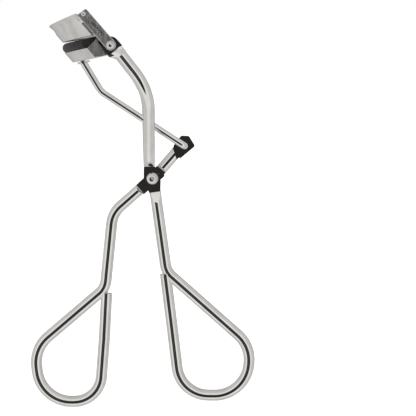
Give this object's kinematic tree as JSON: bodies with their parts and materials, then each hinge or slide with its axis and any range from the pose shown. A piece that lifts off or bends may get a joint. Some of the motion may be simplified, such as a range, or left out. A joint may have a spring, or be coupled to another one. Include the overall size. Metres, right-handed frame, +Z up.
{
  "type": "eyelash curler",
  "caption": "Scissor-action eyelash curler: two wire finger loops pivot to slide a padded lower jaw up slotted rails against a curved upper jaw.",
  "frame": {"origin": "bottom centre of the bounding box, below the two finger loops", "axes": "+Z up from the finger loops to the head, +X from the moving finger loop towards the fixed one, +Y across the width of the jaws, away from the side that shows the pivot rivet's dimpled head"},
  "size_m": [0.0584, 0.0318, 0.1031],
  "materials": {
    "chrome_wire": "polished nickel-chrome plated wire",
    "jaw_plate": "plated sheet, slightly satin",
    "rivet_steel": "plated steel, worn bright on the crowns",
    "pad_rubber": "matt black silicone"
  },
  "bodies": {
    "frame": {"fixed_handle": "chrome_wire", "neck_braze": "chrome_wire", "near_arm": "chrome_wire", "far_arm": "chrome_wire", "near_side_plate": "jaw_plate", "far_side_plate": "jaw_plate", "near_arm_rivet": "rivet_steel", "far_arm_rivet": "rivet_steel", "near_jaw_rivet": "rivet_steel", "far_jaw_rivet": "rivet_steel", "upper_jaw": "jaw_plate", "pivot_rivet": "rivet_steel", "pivot_washer": "rivet_steel"},
    "lever": {"lever_handle": "chrome_wire"},
    "link": {"link_wire": "chrome_wire", "link_collar": "rivet_steel", "eye_washer": "rivet_steel"},
    "lower_jaw": {"lower_jaw": "jaw_plate", "silicone_pad": "pad_rubber"}
  },
  "joints": [
    {"name": "handle_pivot", "type": "hinge", "parent": "frame", "child": "lever", "pos_m": [0.00255, 0, 0.0599], "axis": [0, -1, 0], "range_deg": [-22, 1.2]},
    {"name": "link_pivot", "type": "hinge", "parent": "lever", "child": "link", "pos_m": [0.01095, 0, 0.0682], "axis": [0, -1, 0], "range_deg": [-2, 22]},
    {"name": "jaw_slide", "type": "slide", "parent": "frame", "child": "lower_jaw", "axis": [-0.6561, 0, 0.7547], "range_m": [-0.0046, 0.0003]}
  ],
  "couplings": [
    {"joint": "link_pivot", "follows": "handle_pivot", "ratio": -0.96757},
    {"joint": "jaw_slide", "follows": "handle_pivot", "m_per_rad": 0.011518}
  ]
}
